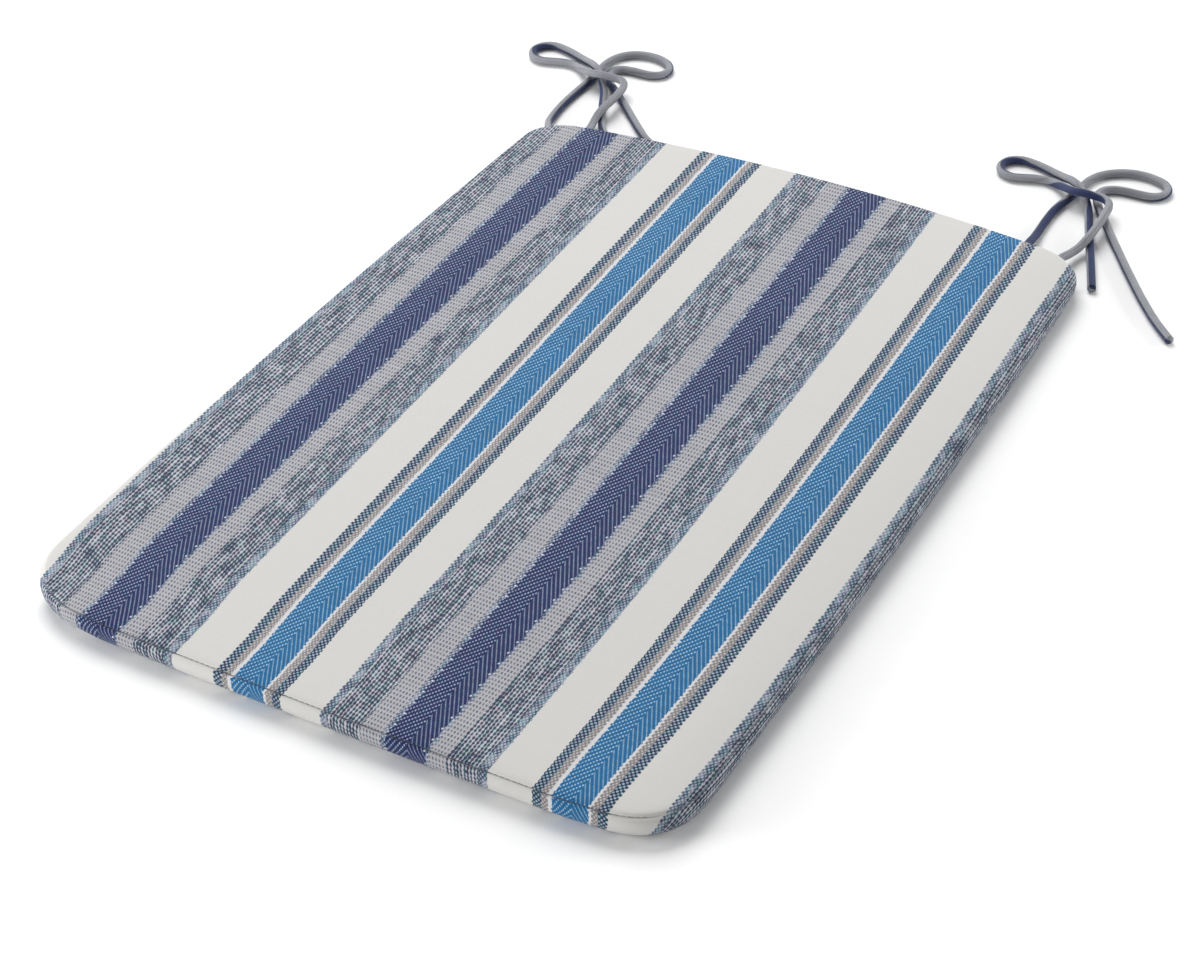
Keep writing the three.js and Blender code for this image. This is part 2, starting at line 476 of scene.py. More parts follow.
class Bench:
    """Builds one material, node by node."""

    def __init__(self, name: str) -> None:
        """Start an empty material with an output."""
        self.material = bpy.data.materials.new(name)
        self.material.use_nodes = True
        self.nodes = self.material.node_tree.nodes
        self.links = self.material.node_tree.links
        self.nodes.clear()
        self.output = self.nodes.new("ShaderNodeOutputMaterial")
        self.count = 0

    def node(self, kind: str, **options: object) -> bpy.types.Node:
        """Add a node and set its options.

        Args:
            kind: Type of the node.
            **options: Its options by name.

        Returns:
            The node.
        """
        made = self.nodes.new(kind)
        made.location = (-180 * (self.count // 12), -160 * (self.count % 12))
        self.count += 1
        for key, value in options.items():
            setattr(made, key, value)
        return made

    def feed(self, socket: bpy.types.NodeSocket, value: object) -> None:
        """Join a wire to a socket, or set the socket's own value.

        Args:
            socket: The input socket.
            value: A wire, a value, or None to leave the socket alone.
        """
        if isinstance(value, Wire):
            self.links.new(value.socket, socket)
        elif value is not None:
            socket.default_value = value

    def sum(self, operation: str, first: Wire | float, second: Wire | float | None = None) -> Wire:
        """Add one Math node.

        Args:
            operation: Name of the operation.
            first: Its first value.
            second: Its second value, if it has one.

        Returns:
            The result.
        """
        made = self.node("ShaderNodeMath", operation=operation)
        self.feed(made.inputs[0], first)
        self.feed(made.inputs[1], second)
        return Wire(self, made.outputs[0])

    def smooth(self, value: Wire, low: float, high: float, start: float, end: float) -> Wire:
        """Add a smooth step between two values.

        Args:
            value: What is stepped.
            low: Where the step starts.
            high: Where it ends.
            start: What it gives up to low.
            end: What it gives from high on.

        Returns:
            The stepped value.
        """
        made = self.node("ShaderNodeMapRange", interpolation_type="SMOOTHSTEP")
        for socket, given in zip(made.inputs, (value, low, high, start, end)):
            self.feed(socket, given)
        return Wire(self, made.outputs[0])

    def place(self, across: Wire | float, along: Wire | float, up: Wire | float = 0.0) -> Wire:
        """Join three values into a place.

        Args:
            across: Its first value.
            along: Its second value.
            up: Its third value.

        Returns:
            The place.
        """
        made = self.node("ShaderNodeCombineXYZ")
        for socket, given in zip(made.inputs, (across, along, up)):
            self.feed(socket, given)
        return Wire(self, made.outputs[0])

    def uv(self, name: str) -> tuple[Wire, Wire]:
        """Read one of the piece's own maps.

        Args:
            name: Name of the map.

        Returns:
            The map's two values.
        """
        source = self.node("ShaderNodeUVMap", uv_map=name)
        split = self.node("ShaderNodeSeparateXYZ")
        self.links.new(source.outputs[0], split.inputs[0])
        return Wire(self, split.outputs[0]), Wire(self, split.outputs[1])

    def chance(self, across: Wire | float, along: Wire | float) -> Wire:
        """Give each whole place a fixed random value from 0 to 1.

        Args:
            across: The place's first value.
            along: Its second value.

        Returns:
            The random value.
        """
        made = self.node("ShaderNodeTexWhiteNoise", noise_dimensions="2D")
        self.feed(made.inputs["Vector"], self.place(across, along))
        return Wire(self, made.outputs["Value"])

    def wave(self, value: Wire) -> Wire:
        """Give 1 at each whole number and -1 half way between."""
        return self.sum("COSINE", value * (2 * math.pi))

    def cloud(self, place: Wire, scale: float, detail: float = 2.0) -> Wire:
        """Give soft noise about one half.

        Args:
            place: Where it is read.
            scale: How fine it is.
            detail: How many finer layers it has.

        Returns:
            The noise.
        """
        made = self.node("ShaderNodeTexNoise", noise_dimensions="2D")
        self.feed(made.inputs["Vector"], place)
        made.inputs["Scale"].default_value = scale
        made.inputs["Detail"].default_value = detail
        return Wire(self, made.outputs[0])

    def pick(self, value: Wire, stops: list[tuple[float, tuple[float, ...]]], steps: bool) -> Wire:
        """Look a value up on a scale of colours.

        Args:
            value: What is looked up, from 0 to 1.
            stops: Where each colour starts, and the colour.
            steps: Whether each colour holds until the next.

        Returns:
            The colour.
        """
        made = self.node("ShaderNodeValToRGB")
        ramp = made.color_ramp
        ramp.interpolation = "CONSTANT" if steps else "LINEAR"
        while len(ramp.elements) < len(stops):
            ramp.elements.new(1.0)
        for element, (position, colour) in zip(ramp.elements, stops):
            element.position = position
            element.color = colour
        self.feed(made.inputs[0], value)
        return Wire(self, made.outputs[0])

    def split(self, colour: Wire) -> tuple[Wire, Wire, Wire]:
        """Take a colour apart.

        Args:
            colour: The colour.

        Returns:
            Its three channels.
        """
        made = self.node("ShaderNodeSeparateColor")
        self.links.new(colour.socket, made.inputs[0])
        return tuple(Wire(self, out) for out in made.outputs[:3])

    def mix(self, share: Wire | float, first: Wire | tuple, second: Wire | tuple, kind: str = "MIX") -> Wire:
        """Mix two colours.

        Args:
            share: How much of the second, from 0 to 1.
            first: The first colour.
            second: The second colour.
            kind: Name of the blend.

        Returns:
            The mixed colour.
        """
        made = self.node("ShaderNodeMix", data_type="RGBA", blend_type=kind)
        self.feed(made.inputs[0], share)
        self.feed(made.inputs[6], first)
        self.feed(made.inputs[7], second)
        return Wire(self, made.outputs[2])

    def bump(self, height: Wire, depth: float, strength: float) -> Wire:
        """Turn a height into a relief.

        Args:
            height: The height, from 0 to 1.
            depth: How deep the relief is, in metres.
            strength: How much of it shows.

        Returns:
            The relief.
        """
        made = self.node("ShaderNodeBump")
        made.inputs["Strength"].default_value = strength
        made.inputs["Distance"].default_value = depth
        self.feed(made.inputs["Height"], height)
        return Wire(self, made.outputs[0])

    def cloth(self, colour: Wire, roughness: Wire, normal: Wire, sheen: float) -> bpy.types.Material:
        """End the material in a cloth shader.

        Args:
            colour: Base colour.
            roughness: Roughness over the surface.
            normal: Relief.
            sheen: How much loose fibre catches the light.

        Returns:
            The finished material.
        """
        shader = self.node("ShaderNodeBsdfPrincipled")
        self.feed(shader.inputs["Base Color"], colour)
        self.feed(shader.inputs["Roughness"], roughness)
        self.feed(shader.inputs["Normal"], normal)
        shader.inputs["Specular IOR Level"].default_value = CLOTH_SPECULAR
        shader.inputs["Sheen Weight"].default_value = sheen
        shader.inputs["Sheen Roughness"].default_value = SHEEN_ROUGHNESS
        self.links.new(shader.outputs[0], self.output.inputs[0])
        return self.material


class Weave(Enum):
    """How the yarns of a stripe cross."""

    PLAIN = 0
    CHECK = 1
    TWILL = 2
    HERRINGBONE = 3
    MELANGE = 4
    TICKED = 5
    FRINGE = 6


@dataclass(frozen=True)
class Stripe:
    """One stripe of the cloth: where it starts in the repeat, and its yarns.

    The mottle is how far the ground's dye runs into others, the tint how far the yarn's does.
    """

    start: float
    weave: Weave
    ground: tuple[int, int, int]
    yarn: tuple[int, int, int]
    mottle: float = 0.0
    tint: float = 0.0


def cream_stripe(start: float) -> Stripe:
    """Give a broad plain stripe."""
    return Stripe(start, Weave.PLAIN, (217, 216, 213), (219, 218, 216))


def white_line(start: float) -> Stripe:
    """Give a narrow white line."""
    return Stripe(start, Weave.PLAIN, (219, 219, 221), (226, 226, 228))


def check_stripe(start: float) -> Stripe:
    """Give a narrow stripe of pale dots on navy and teal."""
    return Stripe(start, Weave.CHECK, (22, 52, 80), (166, 190, 206), 0.5, 0.35)


def twill_stripe(start: float) -> Stripe:
    """Give a narrow taupe stripe."""
    return Stripe(start, Weave.TWILL, (142, 136, 135), (210, 204, 200), 0.05, 0.3)


def melange_stripe(start: float) -> Stripe:
    """Give a broad mixed stripe."""
    return Stripe(start, Weave.MELANGE, (46, 64, 78), (202, 203, 208), 0.6, 0.5)


def fringe_stripe(start: float) -> Stripe:
    """Give the pale blue rim of a mixed stripe."""
    return Stripe(start, Weave.FRINGE, (74, 100, 120), (172, 192, 204), 0.5, 0.6)


def ticked_stripe(start: float) -> Stripe:
    """Give a light grey stripe with small blue ticks."""
    return Stripe(start, Weave.TICKED, (186, 184, 187), (82, 94, 122), 0.03)


def navy_edge(start: float) -> Stripe:
    """Give the narrow dotted edge of the navy stripe."""
    return Stripe(start, Weave.FRINGE, (64, 86, 120), (186, 198, 212), 0.4, 0.5)


STRIPES = (
    fringe_stripe(0.0),
    cream_stripe(0.0015),
    check_stripe(0.1385),
    twill_stripe(0.166),
    white_line(0.185),
    Stripe(0.1955, Weave.HERRINGBONE, (26, 106, 159), (172, 218, 240), 0.06, 0.3),
    white_line(0.3036),
    twill_stripe(0.312),
    check_stripe(0.329),
    cream_stripe(0.3575),
    fringe_stripe(0.4853),
    melange_stripe(0.5085),
    ticked_stripe(0.612),
    navy_edge(0.6765),
    Stripe(0.689, Weave.HERRINGBONE, (20, 36, 90), (160, 178, 212), 0.16, 0.4),
    navy_edge(0.815),
    ticked_stripe(0.8225),
    melange_stripe(0.8778),
    fringe_stripe(0.9746),
)


@dataclass(frozen=True)
class StripedWeave:
    """The striped cloth of the pad, yarn by yarn, over the piece's cloth map."""

    repeat_mm: float = 184.0
    blue_middle: float = 0.2565
    navy_middle: float = 0.7592
    bead_middle: float = 0.7521
    bead_reach: float = 0.0599
    left_column: float = 0.915
    right_column: float = 0.805
    check_column: float = 1.29
    twill_column: float = 1.05
    fringe_column: float = 1.15
    rib: float = 1.9
    tick_column: float = 1.87
    fine_column: float = 0.8
    fine_rows: float = 1.9
    bead_rows: float = 6.0
    bead_reach_across: float = 0.5
    bead_reach_along: float = 0.52
    bead_white: float = 0.85
    # How bright the dullest dot is, and how much brighter the brightest
    dullest: float = 0.65
    liveliness: float = 0.35
    dot_edge: tuple[float, float] = (0.45, 1.35)
    relief_depth: float = 0.0004

    def stops(self, value: Callable[[Stripe], tuple]) -> list[tuple[float, tuple]]:
        """List a value of every stripe with the stripe's start."""
        return [(stripe.start, value(stripe)) for stripe in STRIPES]

    def mask(self, bench: Bench, place: Wire, weave: Weave) -> Wire:
        """Give 1 on the stripes of one weave and 0 elsewhere."""
        flags = self.stops(lambda stripe: (float(stripe.weave is weave),) * 3 + (1.0,))
        return bench.pick(place, flags, True)

    def dot(self, across: Wire, along: Wire, width: float, length: float) -> Wire:
        """Raise a soft oval in the middle of each cell.

        Args:
            across: Place across the cell, from 0 to 1.
            along: Place along it, from 0 to 1.
            width: Half width of the oval, in cells.
            length: Half length of the oval, in cells.

        Returns:
            1 in the oval, falling to 0 around it.
        """
        x, y = (across - 0.5) / width, (along - 0.5) / length
        return (x * x + y * y).ramp(*self.dot_edge, 1, 0)

    def crossing(self, bench: Bench, across: Wire, rows: Wire, column: float) -> Wire:
        """Weave over one and under one, as dots on every other cell.

        Args:
            bench: The material's bench.
            across: Place across the cloth.
            rows: Place along it, in weft rows.
            column: Width of a yarn, in the unit of the place across.

        Returns:
            How much of the stripe's yarn shows, from 0 to 1.
        """
        x = across / column
        odd = ((x.whole() + rows.whole() + 0.5) / 2).part().below(0.5)
        bright = bench.chance(x.whole(), rows.whole()) * self.liveliness + self.dullest
        return odd * bright * self.dot(x.part(), rows.part(), 0.5, 0.5)

    def herringbone(self, bench: Bench, place: Wire, rows: Wire) -> Wire:
        """Weave broken lines that fall away on both sides of a stripe's middle.

        Args:
            bench: The material's bench.
            place: Place across the cloth, in repeats.
            rows: Place along the cloth, in weft rows.

        Returns:
            How much of the stripe's yarn shows, from 0 to 1.
        """
        middle = place.above(0.45) * (self.navy_middle - self.blue_middle) + self.blue_middle
        off = (place - middle) * self.repeat_mm
        right = off.above(0)
        column = off.size() / (self.left_column - right * (self.left_column - self.right_column))
        hit = ((rows.whole() + column.whole() + 0.5) / 3).part().below(1 / 3)
        bright = bench.chance(off.whole(), rows.whole()) * 0.4 + 0.55
        dots = hit * bright * self.dot(column.part(), rows.part(), 0.52, 0.46)
        line = (((rows + column) / 3).part() - 0.5).size().ramp(0.06, 0.23, 1, 0)
        worn = bench.chance((off / 2).whole(), (rows / 2).whole()) * 0.4 + 0.6
        line = line * (column.arch() * 0.75 + 0.2) * worn
        return dots * (1 - right) + line * right * 0.85

    def melange(self, bench: Bench, across: Wire, rows: Wire) -> Wire:
        """Weave ribs that run from pale dots on dark to dark dots on pale.

        Args:
            bench: The material's bench.
            across: Place across the cloth, in mm.
            rows: Place along the cloth, in weft rows.

        Returns:
            How much of the stripe's yarn shows, from 0 to 1.
        """
        x = across / self.rib
        rib = (x + 0.5).whole()
        beat = rows / 2 + bench.chance(x.whole(), 11.0) + x.part() * 0.2
        net = bench.wave(x) * 0.8 + bench.wave(beat) * 0.5
        tone = (bench.cloud(bench.place(rib * 0.83, rows * 0.1), 1.0, 2.0) - 0.5) * 2.6
        return (net + tone + (bench.chance(rib, beat.whole()) - 0.5) * 0.6).ramp(-0.6, 1.15)

    def fringe(self, bench: Bench, across: Wire, rows: Wire) -> Wire:
        """Weave the dotted rim of a mixed stripe.

        Args:
            bench: The material's bench.
            across: Place across the cloth, in mm.
            rows: Place along the cloth, in weft rows.

        Returns:
            How much of the stripe's yarn shows, from 0 to 1.
        """
        patch = bench.cloud(bench.place(across * 0.3, rows * 0.16), 1.0, 2.0)
        dots = self.crossing(bench, across, rows, self.fringe_column)
        return dots * 0.85 + patch.ramp(0.42, 0.64, 0.0, 0.45)

    def ticks(self, bench: Bench, across: Wire, rows: Wire) -> Wire:
        """Weave small upright ticks on every other row.

        Args:
            bench: The material's bench.
            across: Place across the cloth, in mm.
            rows: Place along the cloth, in weft rows.

        Returns:
            How much of the stripe's yarn shows, from 0 to 1.
        """
        pair = (rows / 2).part()
        x = across / self.tick_column + (pair - 0.5) * 0.2
        bright = bench.chance(x.whole(), (rows / 2).whole()) * self.liveliness + self.dullest
        return self.dot(x.part(), pair, 0.28, 0.34) * bright

    def beads(self, place: Wire, rows: Wire) -> Wire:
        """Set a white bead on every sixth row along both edges of the navy stripe.

        Args:
            place: Place across the cloth, in repeats.
            rows: Place along the cloth, in weft rows.

        Returns:
            How much of the bead's white shows, from 0 to 1.
        """
        off = ((place - self.bead_middle).size() - self.bead_reach) * self.repeat_mm
        along = (rows / self.bead_rows).part() * self.bead_rows
        bead = self.dot(off + 0.5, along, self.bead_reach_across, self.bead_reach_along)
        return bead * self.bead_white

    def material(self) -> bpy.types.Material:
        """Build the cloth's material.

        Returns:
            The finished material.
        """
        bench = Bench("striped_cloth")
        u, rows = bench.uv(CLOTH_MAP)
        row = rows.whole()
        tooth = ((row + 0.5) / 2).part() - 0.5
        ragged = bench.chance(row, 3.0) - 0.5
        place = (u + (tooth * 1.0 + ragged * 0.5) / self.repeat_mm).part()
        true_place = u.part()
        across = u * self.repeat_mm

        mask = {weave: self.mask(bench, place, weave) for weave in Weave}
        fine = self.crossing(bench, across, rows * self.fine_rows, self.fine_column)
        raised = (
            mask[Weave.CHECK] * self.crossing(bench, across, rows, self.check_column)
            + mask[Weave.TWILL] * self.crossing(bench, across, rows, self.twill_column)
            + mask[Weave.HERRINGBONE] * self.herringbone(bench, true_place, rows)
            + mask[Weave.MELANGE] * self.melange(bench, across, rows)
            + mask[Weave.FRINGE] * self.fringe(bench, across, rows)
            + mask[Weave.TICKED] * self.ticks(bench, across, rows)
            + mask[Weave.PLAIN] * fine * 0.5
        )
        ground = bench.pick(place, self.stops(lambda stripe: dyed(*stripe.ground)), True)
        yarn = bench.pick(place, self.stops(lambda stripe: dyed(*stripe.yarn)), True)
        mottle = bench.pick(place, self.stops(lambda stripe: (stripe.mottle,) * 3 + (1.0,)), True)
        tint = bench.pick(place, self.stops(lambda stripe: (stripe.tint,) * 3 + (1.0,)), True)

        blotch = bench.cloud(bench.place(across * 0.36, rows * 0.2), 1.0, 3.0)
        stains = [
            (0.0, dyed(34, 96, 92)),
            (0.4, dyed(34, 84, 96)),
            (0.53, dyed(38, 52, 92)),
            (0.66, dyed(72, 60, 88)),
            (1.0, dyed(84, 78, 80)),
        ]
        tints = [
            (0.0, dyed(140, 190, 202)),
            (0.4, dyed(172, 196, 208)),
            (0.5, dyed(202, 200, 206)),
            (0.6, dyed(196, 182, 208)),
            (1.0, dyed(208, 190, 182)),
        ]
        ground = bench.mix(mottle, ground, bench.pick(blotch, stains, False))
        other = bench.cloud(bench.place(across * 0.4 + 31.0, rows * 0.24), 1.0, 3.0)
        yarn = bench.mix(tint, yarn, bench.pick(other, tints, False))
        plain = mask[Weave.PLAIN]
        uneven = bench.chance(row, 17.0) * 0.6 + bench.chance((across / 0.9).whole(), 5.0) * 0.4 - 0.5
        slub = uneven * (0.2 - plain * 0.182) + 1
        colour = bench.mix(raised, ground, yarn)
        colour = bench.mix(self.beads(true_place, rows), colour, dyed(226, 230, 238))
        colour = bench.mix(1.0, colour, bench.place(slub, slub, slub), "MULTIPLY")

        relief = (raised * 0.6 + rows.arch() * 0.4) * (1 - plain * 0.75)
        normal = bench.bump(relief, self.relief_depth, 0.5)
        return bench.cloth(colour, raised.ramp(0, 1, 0.92, 0.8), normal, 0.08)


@dataclass(frozen=True)
class TieWeave:
    """The ties' narrow cloth, light grey with one navy side."""

    columns: float = 18.0
    row_length: float = 0.85 * MM
    navy_reach: float = 0.2
    # How wide the two fold lines are, which carry painted shade in the colour and a dip in the relief
    fold: float = 0.016
    relief_depth: float = 0.0003

    def material(self) -> bpy.types.Material:
        """Build the ties' material from their own map, navy about its middle line, with painted shade along
        its folds.

        Returns:
            The finished material.
        """
        bench = Bench("tie_cloth")
        around, along = bench.uv(CLOTH_MAP)
        rows = along / self.row_length
        tooth = ((rows.whole() + 0.5) / 2).part() - 0.5
        side = (around.part() - 0.5).size() + tooth * 0.05
        dots = StripedWeave().crossing(bench, around * self.columns, rows, 1.0)
        light = bench.mix(dots, dyed(140, 142, 150), dyed(188, 190, 194))
        navy = bench.mix(dots, dyed(24, 34, 74), dyed(92, 104, 146))
        colour = bench.mix(side.below(self.navy_reach), light, navy)
        # Painted shade: the colour is darkened along the fold at the navy edge and along the far edge, and
        # the relief dips there
        fold_crease_and_shade = (side - self.navy_reach).size().ramp(0.0, self.fold * 2, 1, 0)
        fold_crease_and_shade = fold_crease_and_shade.most(side.ramp(0.5 - self.fold * 2, 0.5, 0, 1))
        uneven = bench.cloud(bench.place(along * 90.0, around * 0.5), 1.0, 2.0)
        # Painted shade along the folds, times the yarn's uneven tone
        fold_shade_and_tone = (1 - fold_crease_and_shade * 0.4) * (uneven * 0.24 + 0.88)
        colour = bench.mix(1.0, colour, bench.place(fold_shade_and_tone, fold_shade_and_tone, fold_shade_and_tone), "MULTIPLY")
        relief = dots * 0.5 + rows.arch() * 0.3 - fold_crease_and_shade * 0.5
        normal = bench.bump(relief, self.relief_depth, 0.6)
        return bench.cloth(colour, dots.ramp(0, 1, 0.95, 0.82), normal, 0.1)


@dataclass(frozen=True)
class ThreadFinish:
    """The grey sewing thread of the seam; its dark grey is partly its own and partly painted shade of the
    seam's crease.
    """

    ridges: float = 900.0
    relief_depth: float = 0.0001

    def material(self) -> bpy.types.Material:
        """Build a thread with the faint ridges of its twist, painted lighter on the ridges and with painted
        shade in the grooves.

        Returns:
            The finished material.
        """
        bench = Bench("seam_thread")
        source = bench.node("ShaderNodeTexCoord")
        twist = bench.node("ShaderNodeTexWave", wave_type="BANDS", bands_direction="DIAGONAL")
        bench.links.new(source.outputs["Object"], twist.inputs["Vector"])
        twist.inputs["Scale"].default_value = self.ridges
        ridge_light_and_groove_shade = Wire(bench, twist.outputs["Color"])
        # Painted shade: the thread is darker in its twist's grooves and lighter on its ridges, and its dark
        # grey also stands for the shade in the seam's crease
        colour = bench.mix(ridge_light_and_groove_shade, dyed(84, 88, 98), dyed(118, 120, 128))
        height = Wire(bench, twist.outputs["Fac"])
        relief = bench.bump(height, self.relief_depth, 0.4)
        return bench.cloth(colour, height.ramp(0, 1, 0.75, 0.6), relief, 0.1)


@dataclass(frozen=True)
class PaperFinish:
    """The plain pale floor."""

    grain_scale: float = 40.0
    dim: tuple[float, float, float, float] = (0.90, 0.90, 0.90, 1)
    bright: tuple[float, float, float, float] = (0.92, 0.92, 0.92, 1)

    def material(self) -> bpy.types.Material:
        """Build a matt white with the faintest tooth.

        Returns:
            The finished material.
        """
        bench = Bench("floor_paper")
        source = bench.node("ShaderNodeTexCoord")
        grain = bench.node("ShaderNodeTexNoise")
        bench.links.new(source.outputs["Object"], grain.inputs["Vector"])
        grain.inputs["Scale"].default_value = self.grain_scale
        tone = bench.mix(Wire(bench, grain.outputs[0]), self.dim, self.bright)
        shader = bench.node("ShaderNodeBsdfDiffuse")
        bench.feed(shader.inputs["Color"], tone)
        bench.links.new(shader.outputs[0], bench.output.inputs[0])
        return bench.material


# ---------------------------------------------------------------------------
# The pad
# ---------------------------------------------------------------------------


@dataclass
class SeatPad:
    """The filled pad: top panel, boxing and underside, sewn along two seams."""

    finish: bpy.types.Material
    outline: SeamOutline = field(default_factory=SeamOutline)
    layout: ClothLayout = field(default_factory=ClothLayout)
    steps_across: int = 60
    steps_along: int = 84
    # Rings from the underside up: inset from the outline and height in mm, and share of the lift
    underside_rings: tuple[tuple[float, float, float], ...] = (
        (60, 0, 0), (30, 0, 0), (14, 0, 0), (8, 0.05, 0), (4.6, 0.35, 0), (2.6, 0.95, 0), (1.5, 1.75, 0),
    )
    boxing_rings: tuple[tuple[float, float, float], ...] = (
        (1.75, 2.35, 0), (0.7, 2.9, 0), (-0.2, 4.2, 0), (-0.8, 6.0, 0.1), (-1.1, 8.0, 0.3), (-1.1, 9.9, 0.6),
        (-0.9, 11.5, 0.8), (-0.5, 12.7, 0.95), (0.05, 13.5, 1), (0.6, 13.85, 1), (1.4, 13.45, 1),
    )
    top_rings: tuple[tuple[float, float, float], ...] = (
        (1.15, 14.75, 1), (1.35, 15.35, 1), (2.2, 15.85, 1), (4.2, 16.25, 0.95), (7.8, 16.65, 0.85),
        (13.2, 17.1, 0.7), (20, 17.55, 0.5),
    )
    # How much higher the front, right, back and left side lie, in mm
    lift: tuple[float, float, float, float] = (0.0, 0.0, 1.4, 1.3)
    crown: float = 20 * MM
    fill: float = 0.8
    frames: int = 20
    pressure: float = 4.0
    most_movement: float = 0.6 * MM
    # How firmly the loose cloth is held to its drawn place, and the height between the two panels
    hold: float = 0.35
    half_height: float = 5 * MM
    cloth_quality: int = 5
    stretch_stiffness: float = 20.0
    bending_stiffness: float = 2.0
    # How far the thread sinks where the groove is closed
    hidden_depth: float = 0.9 * MM
    # How flat the crown is, and how much less the boxing's cloth fans out round the left front corner
    crown_flatness: float = 2.6
    corner_pull: float = 0.6

    @property
    def seam_ring(self) -> int:
        """Give the place of the upper seam among the rings, counted from below."""
        return len(self.underside_rings) + len(self.boxing_rings) - 1

    def loop(self) -> np.ndarray:
        """Give the outline as one closed loop, without its repeated corners."""
        return np.concatenate([s[:-1] for s in self.outline.four_sides(self.steps_across, self.steps_along)])

    def ring(self, loop: np.ndarray, inset: float, height: float, share: float) -> np.ndarray:
        """Draw the outline in and lift it.

        Args:
            loop: The outline from above.
            inset: How far it is drawn in, in mm.
            height: How high it lies, in mm.
            share: How much of each side's own lift it takes.

        Returns:
            The ring's points.
        """
        across, along = outward(loop).T
        front, right, back, left = self.lift
        sides = np.where(across > 0, right, left) * across**2 + np.where(along > 0, back, front) * along**2
        half = np.array([self.outline.front_half_width, self.outline.depth / 2])
        flat = loop * (1 - inset * MM / half)
        return np.column_stack([flat, (height + share * sides) * MM])

    def melt(self, loop: np.ndarray) -> np.ndarray:
        """Give how far the seam's groove closes: along the right side and round the left front corner."""
        sideways = outward(loop)[:, 0]
        return np.maximum(step(sideways, 0.5, 0.85), step(-sideways, 0.35, 0.7) * self.by_front(loop))

    def by_front(self, loop: np.ndarray) -> np.ndarray:
        """Give 1 for points by the front corners, falling to 0 along the sides."""
        return step(-loop[:, 1], 150 * MM, 200 * MM)

    def patch(self, ring: np.ndarray) -> np.ndarray:
        """Fill a ring with an even grid of points.

        Args:
            ring: The ring, which starts at the left end of the front side.

        Returns:
            The grid's points, with the ring's own on its border.
        """
        a, b = self.steps_across, self.steps_along
        front, right = ring[: a + 1], ring[a : a + b + 1]
        back = ring[a + b : 2 * a + b + 1][::-1]
        left = np.concatenate([ring[2 * a + b :], ring[:1]])[::-1]
        s = np.linspace(0, 1, a + 1)[None, :, None]
        t = np.linspace(0, 1, b + 1)[:, None, None]
        sides = (1 - t) * front[None] + t * back[None] + (1 - s) * left[:, None] + s * right[:, None]
        corners = (
            (1 - s) * (1 - t) * front[0]
            + s * (1 - t) * front[-1]
            + (1 - s) * t * back[0]
            + s * t * back[-1]
        )
        return sides - corners

    def dome(self, grid: np.ndarray) -> np.ndarray:
        """Lift the inner part of the top panel into its low crown.

        Args:
            grid: The panel's grid of points.

        Returns:
            The lifted grid.
        """
        a, b = self.steps_across, self.steps_along
        s = np.abs(np.linspace(-1, 1, a + 1))[None, :]
        t = np.abs(np.linspace(-1, 1, b + 1))[:, None]
        lifted = grid.copy()
        flatness = self.crown_flatness
        lifted[..., 2] += (self.crown - grid[..., 2]) * (1 - s**flatness) * (1 - t**flatness)
        return lifted

    def shell(self) -> bpy.types.Mesh:
        """Lay out the closed shell with its cloth map.

        Returns:
            The shell's mesh, not yet filled or subdivided.
        """
        loop = self.loop()
        count = len(loop)
        a, b = self.steps_across, self.steps_along
        rings = [self.ring(loop, *r) for r in self.underside_rings + self.boxing_rings + self.top_rings]
        seam = self.seam_ring
        flush = (rings[seam - 1] + rings[seam + 1]) / 2
        melt = self.melt(loop)[:, None]
        rings[seam] = rings[seam] * (1 - melt) + flush * melt
        points = np.concatenate(rings)
        faces: list[tuple[int, ...]] = []
        panels: list[int] = []
        for k in range(len(rings) - 1):
            if k < len(self.underside_rings):
                panel = Panel.UNDERSIDE
            elif k < seam:
                panel = Panel.BOXING
            else:
                panel = Panel.TOP
            for i in range(count):
                n = (i + 1) % count
                faces.append((k * count + i, k * count + n, (k + 1) * count + n, (k + 1) * count + i))
                panels.append(panel.value)
        extra = [points]
        total = len(points)
        for base, panel in (((len(rings) - 1) * count, Panel.TOP), (0, Panel.UNDERSIDE)):
            ring = points[base : base + count]
            grid = self.patch(ring)
            if panel is Panel.TOP:
                grid = self.dome(grid)
            index = np.empty((b + 1, a + 1), dtype=int)
            index[0, :] = base + np.arange(a + 1)
            index[:, -1] = base + a + np.arange(b + 1)
            index[-1, ::-1] = base + a + b + np.arange(a + 1)
            index[::-1, 0] = base + (2 * a + b + np.arange(b + 1)) % count
            index[1:-1, 1:-1] = total + np.arange((a - 1) * (b - 1)).reshape(b - 1, a - 1)
            extra.append(grid[1:-1, 1:-1].reshape(-1, 3))
            total += (a - 1) * (b - 1)
            for r in range(b):
                for c in range(a):
                    quad = (index[r, c], index[r, c + 1], index[r + 1, c + 1], index[r + 1, c])
                    faces.append(quad if panel is Panel.TOP else quad[::-1])
                    panels.append(panel.value)
        points = np.concatenate(extra)
        mesh = mesh_from("pad", points, [tuple(int(v) for v in f) for f in faces])
        self.map_cloth(mesh, points, np.array(panels), loop)
        return mesh

